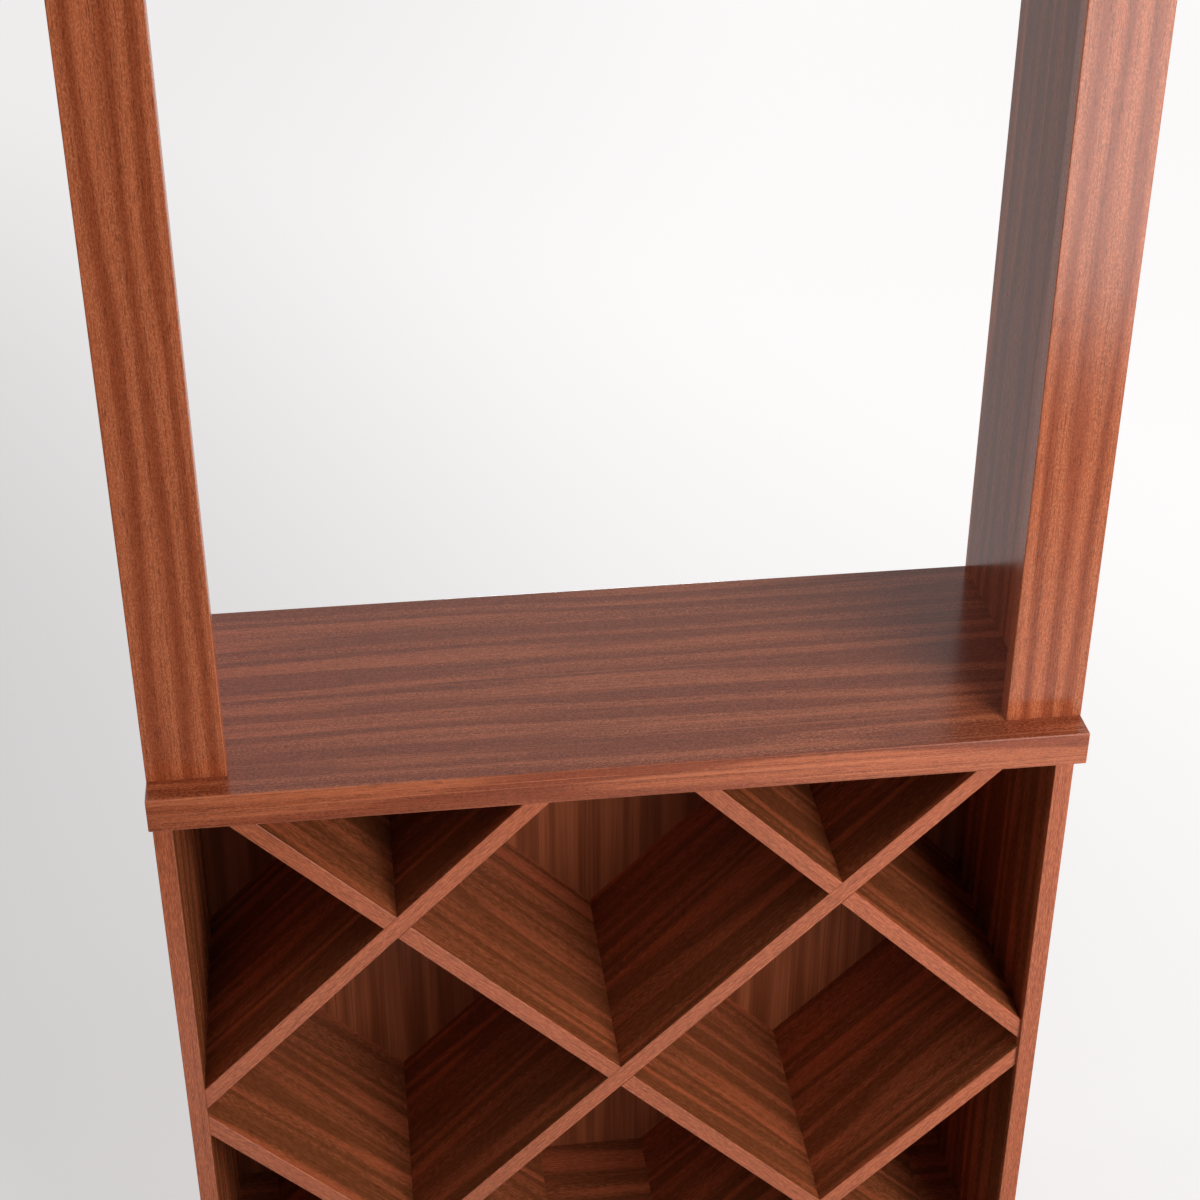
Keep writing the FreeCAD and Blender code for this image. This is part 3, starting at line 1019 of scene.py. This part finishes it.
@dataclass(frozen=True)
class Softbox:
    """A flat soft lamp: where its middle is, how wide and high it is and its power in watts."""

    name: str
    place: Triple
    sides: tuple[float, float]
    power: float

    def build(self, aim: Triple) -> Thing:
        """Hang the lamp.

        Args:
            aim: The point that it faces.

        Returns:
            The lamp.
        """
        lamp = bpy.data.lights.new(self.name, "AREA")
        lamp.shape = "RECTANGLE"
        lamp.size, lamp.size_y = self.sides
        lamp.energy = self.power
        softbox = bpy.data.objects.new(self.name, lamp)
        softbox.location = self.place
        away = Vector(aim) - Vector(self.place)
        softbox.rotation_euler = away.to_track_quat("-Z", "Y").to_euler()
        bpy.context.scene.collection.objects.link(softbox)
        return softbox


@dataclass(frozen=True)
class Fade:
    """A level that changes smoothly across the floor.

    It changes along a slope, given as weights of X, Y and Z, or else with the distance from the
    middle, between the two values of the reach.
    """

    reach: tuple[float, float]
    levels: tuple[float, float]
    slope: Triple | None = None

    def level(self, tree: Tree) -> Socket:
        """Add the fade to the floor's tree.

        Args:
            tree: The node tree.

        Returns:
            The level.
        """
        place = add_node(tree, "TexCoord", {}).outputs["Object"]
        if self.slope is None:
            value = add_node(tree, "VectorMath", {0: place}, operation="LENGTH")
        else:
            value = add_node(tree, "VectorMath", {0: place, 1: self.slope}, operation="DOT_PRODUCT")
        return add_node(tree, "MapRange", {
            0: value.outputs["Value"],
            "From Min": self.reach[0],
            "From Max": self.reach[1],
            "To Min": self.levels[0],
            "To Max": self.levels[1],
        }, interpolation_type="SMOOTHSTEP").outputs[0]


@dataclass
class Studio:
    """A pale floor, a softbox at the right front, weaker ones around it and the camera."""

    camera_place: Triple = (-0.2408, -1.8997, 2.1743)
    camera_pitch_deg: float = 31.489
    camera_yaw_deg: float = 7.026
    lens_mm: float = 67.363
    sensor_mm: float = 36.0
    floor_side: float = 60.0
    floor_colour: str = "#B3B2B1"
    glow_colour: str = "#FFFDFD"
    # The floor's own light: it rises to the rear right, falls to the left and is white far off.
    glow: tuple[Fade, ...] = (
        Fade((-0.19, 2.57), (0.575, 0.84), (0.72, 0.69, 0.0)),
        Fade((-0.06, 1.99), (0.0, -0.11), (-0.97, 0.24, 0.0)),
        Fade((5.5, 12.0), (0.0, 1.0)),
    )
    # Gloss sees a brighter floor in front, which ends in the dark of the studio at the front left.
    front_glow: Fade = Fade((-1.0, -0.3), (0.5, 0.0), (0.0, 1.0, 0.0))
    front_end: Fade = Fade((-1.65, -1.0), (0.0, 1.0), (0.6, 1.0, 0.0))
    aim: Triple = (0.0, 0.0, 1.1)
    # The rear and left ones light mostly what faces away from the camera.
    softboxes: tuple[Softbox, ...] = (
        Softbox("key_softbox", (1.3, -1.95, 1.3), (1.2, 1.8), 46.0),
        Softbox("overhead_softbox", (1.1, -1.15, 3.1), (1.3, 1.3), 16.5),
        Softbox("rear_softbox", (2.0, 20.0, 1.6), (3.0, 3.0), 1300.0),
        Softbox("left_softbox", (-20.0, 0.03, 1.6), (1.6, 3.0), 1300.0),
    )
    fill: float = 0.18
    background: float = 1.0

    def build(self) -> Iterator[Thing]:
        """Set up the stage.

        Returns:
            Its objects, one after another.
        """
        self.world()
        yield self.floor()
        for softbox in self.softboxes:
            yield softbox.build(self.aim)
        yield self.camera()

    def rays_that_see_white(self, tree: Tree) -> Socket:
        """Mask the rays that show the background, from the camera and off gloss.

        Args:
            tree: The node tree of the floor or the world.

        Returns:
            The mask.
        """
        path = add_node(tree, "LightPath", {})
        return add_node(tree, "Math", {
            0: path.outputs["Is Camera Ray"], 1: path.outputs["Is Glossy Ray"],
        }, operation="MAXIMUM").outputs[0]

    def world(self) -> None:
        """Make a dim white sky that looks white itself."""
        world = bpy.data.worlds.new("studio")
        world.use_nodes = True
        tree = world.node_tree
        tree.nodes.clear()
        level = add_node(tree, "MapRange", {
            0: self.rays_that_see_white(tree), "To Min": self.fill, "To Max": self.background,
        })
        sky = add_node(tree, "Background", {"Color": (1, 1, 1, 1), "Strength": level.outputs[0]})
        add_node(tree, "OutputWorld", {0: sky.outputs[0]})
        bpy.context.scene.world = world

    def floor(self) -> Thing:
        """Lay a matt paper floor that keeps the shadow.

        Returns:
            The floor.
        """
        half = self.floor_side / 2
        mesh = bpy.data.meshes.new("floor")
        corners = [(-half, -half, 0), (half, -half, 0), (half, half, 0), (-half, half, 0)]
        mesh.from_pydata(corners, [], [(0, 1, 2, 3)])
        floor = bpy.data.objects.new("floor", mesh)
        bpy.context.scene.collection.objects.link(floor)
        material, tree = bare_material("studio_paper")
        glow = 0.0
        for fade in self.glow:
            glow = add_node(tree, "Math", {
                0: glow, 1: fade.level(tree),
            }, operation="ADD").outputs[0]
        glossy = add_node(tree, "Math", {0: glow, 1: self.front_glow.level(tree)}, operation="ADD")
        glossy = add_node(tree, "Math", {
            0: glossy.outputs[0], 1: self.front_end.level(tree),
        }, operation="MULTIPLY")
        path = add_node(tree, "LightPath", {})
        level = add_node(tree, "Mix", {
            MIX_SHARE: path.outputs["Is Glossy Ray"], MIX_LOW: glow, MIX_HIGH: glossy.outputs[0],
        }, data_type="FLOAT")
        level = add_node(tree, "Math", {
            0: level.outputs[0], 1: self.rays_that_see_white(tree),
        }, operation="MULTIPLY")
        matt = add_node(tree, "BsdfDiffuse", {"Color": linear(self.floor_colour)})
        light = add_node(tree, "Emission", {
            "Color": linear(self.glow_colour), "Strength": level.outputs[0],
        })
        paper = add_node(tree, "AddShader", {0: matt.outputs[0], 1: light.outputs[0]})
        add_node(tree, "OutputMaterial", {0: paper.outputs[0]})
        mesh.materials.append(material)
        floor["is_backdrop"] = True
        return floor

    def camera(self) -> Thing:
        """Place the camera above and a little left of the middle, turned right and down.

        Returns:
            The camera.
        """
        data = bpy.data.cameras.new("camera")
        data.sensor_width = self.sensor_mm
        data.lens = self.lens_mm
        camera = bpy.data.objects.new("camera", data)
        camera.location = self.camera_place
        tilt = math.radians(90 - self.camera_pitch_deg)
        camera.rotation_euler = (tilt, 0, -math.radians(self.camera_yaw_deg))
        bpy.context.scene.collection.objects.link(camera)
        bpy.context.scene.camera = camera
        return camera


def write_sizes() -> None:
    """Work out the CAD model's box and the visual model's box as lists of corners."""
    boxes = {"cad": CAD_BOX, "visual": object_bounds()}
    {name: [list(corner) for corner in box] for name, box in boxes.items()}


def main() -> None:
    """Dress the station, make its fixings, set up the studio and report each piece."""
    logging.basicConfig(level=logging.INFO, format="%(name)s: %(message)s")
    bpy.context.scene.view_settings.view_transform = "Standard"
    ribboned = LacqueredMahogany()
    # Boards sawn wider of the quarter, with broad soft waves of dark figure and longer flecks. The
    # dark waves are strong and lie on the faces only, so the faces inside the bins render darker
    # than the front edges: partly figure, partly painted shade.
    banded = replace(
        ribboned,
        dark="#7A4224",
        light="#B45B38",
        ribbons=Ribbons(spacing_mm=37.0, wander_mm=1700.0, wander=12.0, window=(0.1, 0.9)),
        shade=Figure((420, 20, 20), (0.34, 0.60), 0.9),
        streaks=Figure((300, 1.6, 1.6), (0.44, 0.72), 0.32, 3.0),
        gleams=Figure((600, 2.0, 2.0), (0.58, 0.70), 0.2),
        fleck="#DA7E54",
        flecks=Figure((7.0, 1.0, 1.0), (0.42, 0.66), 1.0),
        fleck_shares=(0.2, 0.5),
        coat=0.62,
    )
    # The wide boards of the upper frame: a lighter copy of the banded finish under a thinner
    # lacquer.
    # The lighter colour is painted light: it stands in for fill that the right upright's inner face
    # lacks.
    pale = replace(
        banded,
        dark="#8F4B2A",
        light="#C46C44",
        shade=Figure((420, 20, 20), (0.34, 0.60), 0.7),
        coat=0.57,
    )
    # The thick top: uneven bands with thin bright lines between them. Its edge has the same bands
    # and fewer flecks.
    slab = replace(
        ribboned,
        dark="#8C3F21",
        light="#B9623D",
        ribbons=Ribbons(spacing_mm=34.0, wander_mm=1700.0, wander=11.0, window=(0.2, 0.8)),
        shade=Figure((1100, 15, 15), (0.40, 0.60), 0.8),
        gleams=Figure((600, 2.0, 2.0), (0.58, 0.70), 0.42),
        fleck_shares=(0.42, 0.80),
        edge_share=0.0,
        edge_fleck_share=0.4,
    )
    assemblies = (
        BaseCabinet(banded, VeneeredPlywood()),
        BinLattice(banded),
        Counter(slab),
        Uprights(ribboned, pale),
        Fixings(BEECH, ZincPlatedSteel()),
        Studio(),
    )
    for assembly in assemblies:
        for piece in assembly.build():
            log.info("%s: %s", type(assembly).__name__, piece.name)
    write_sizes()


if __name__ == "__main__":
    main()
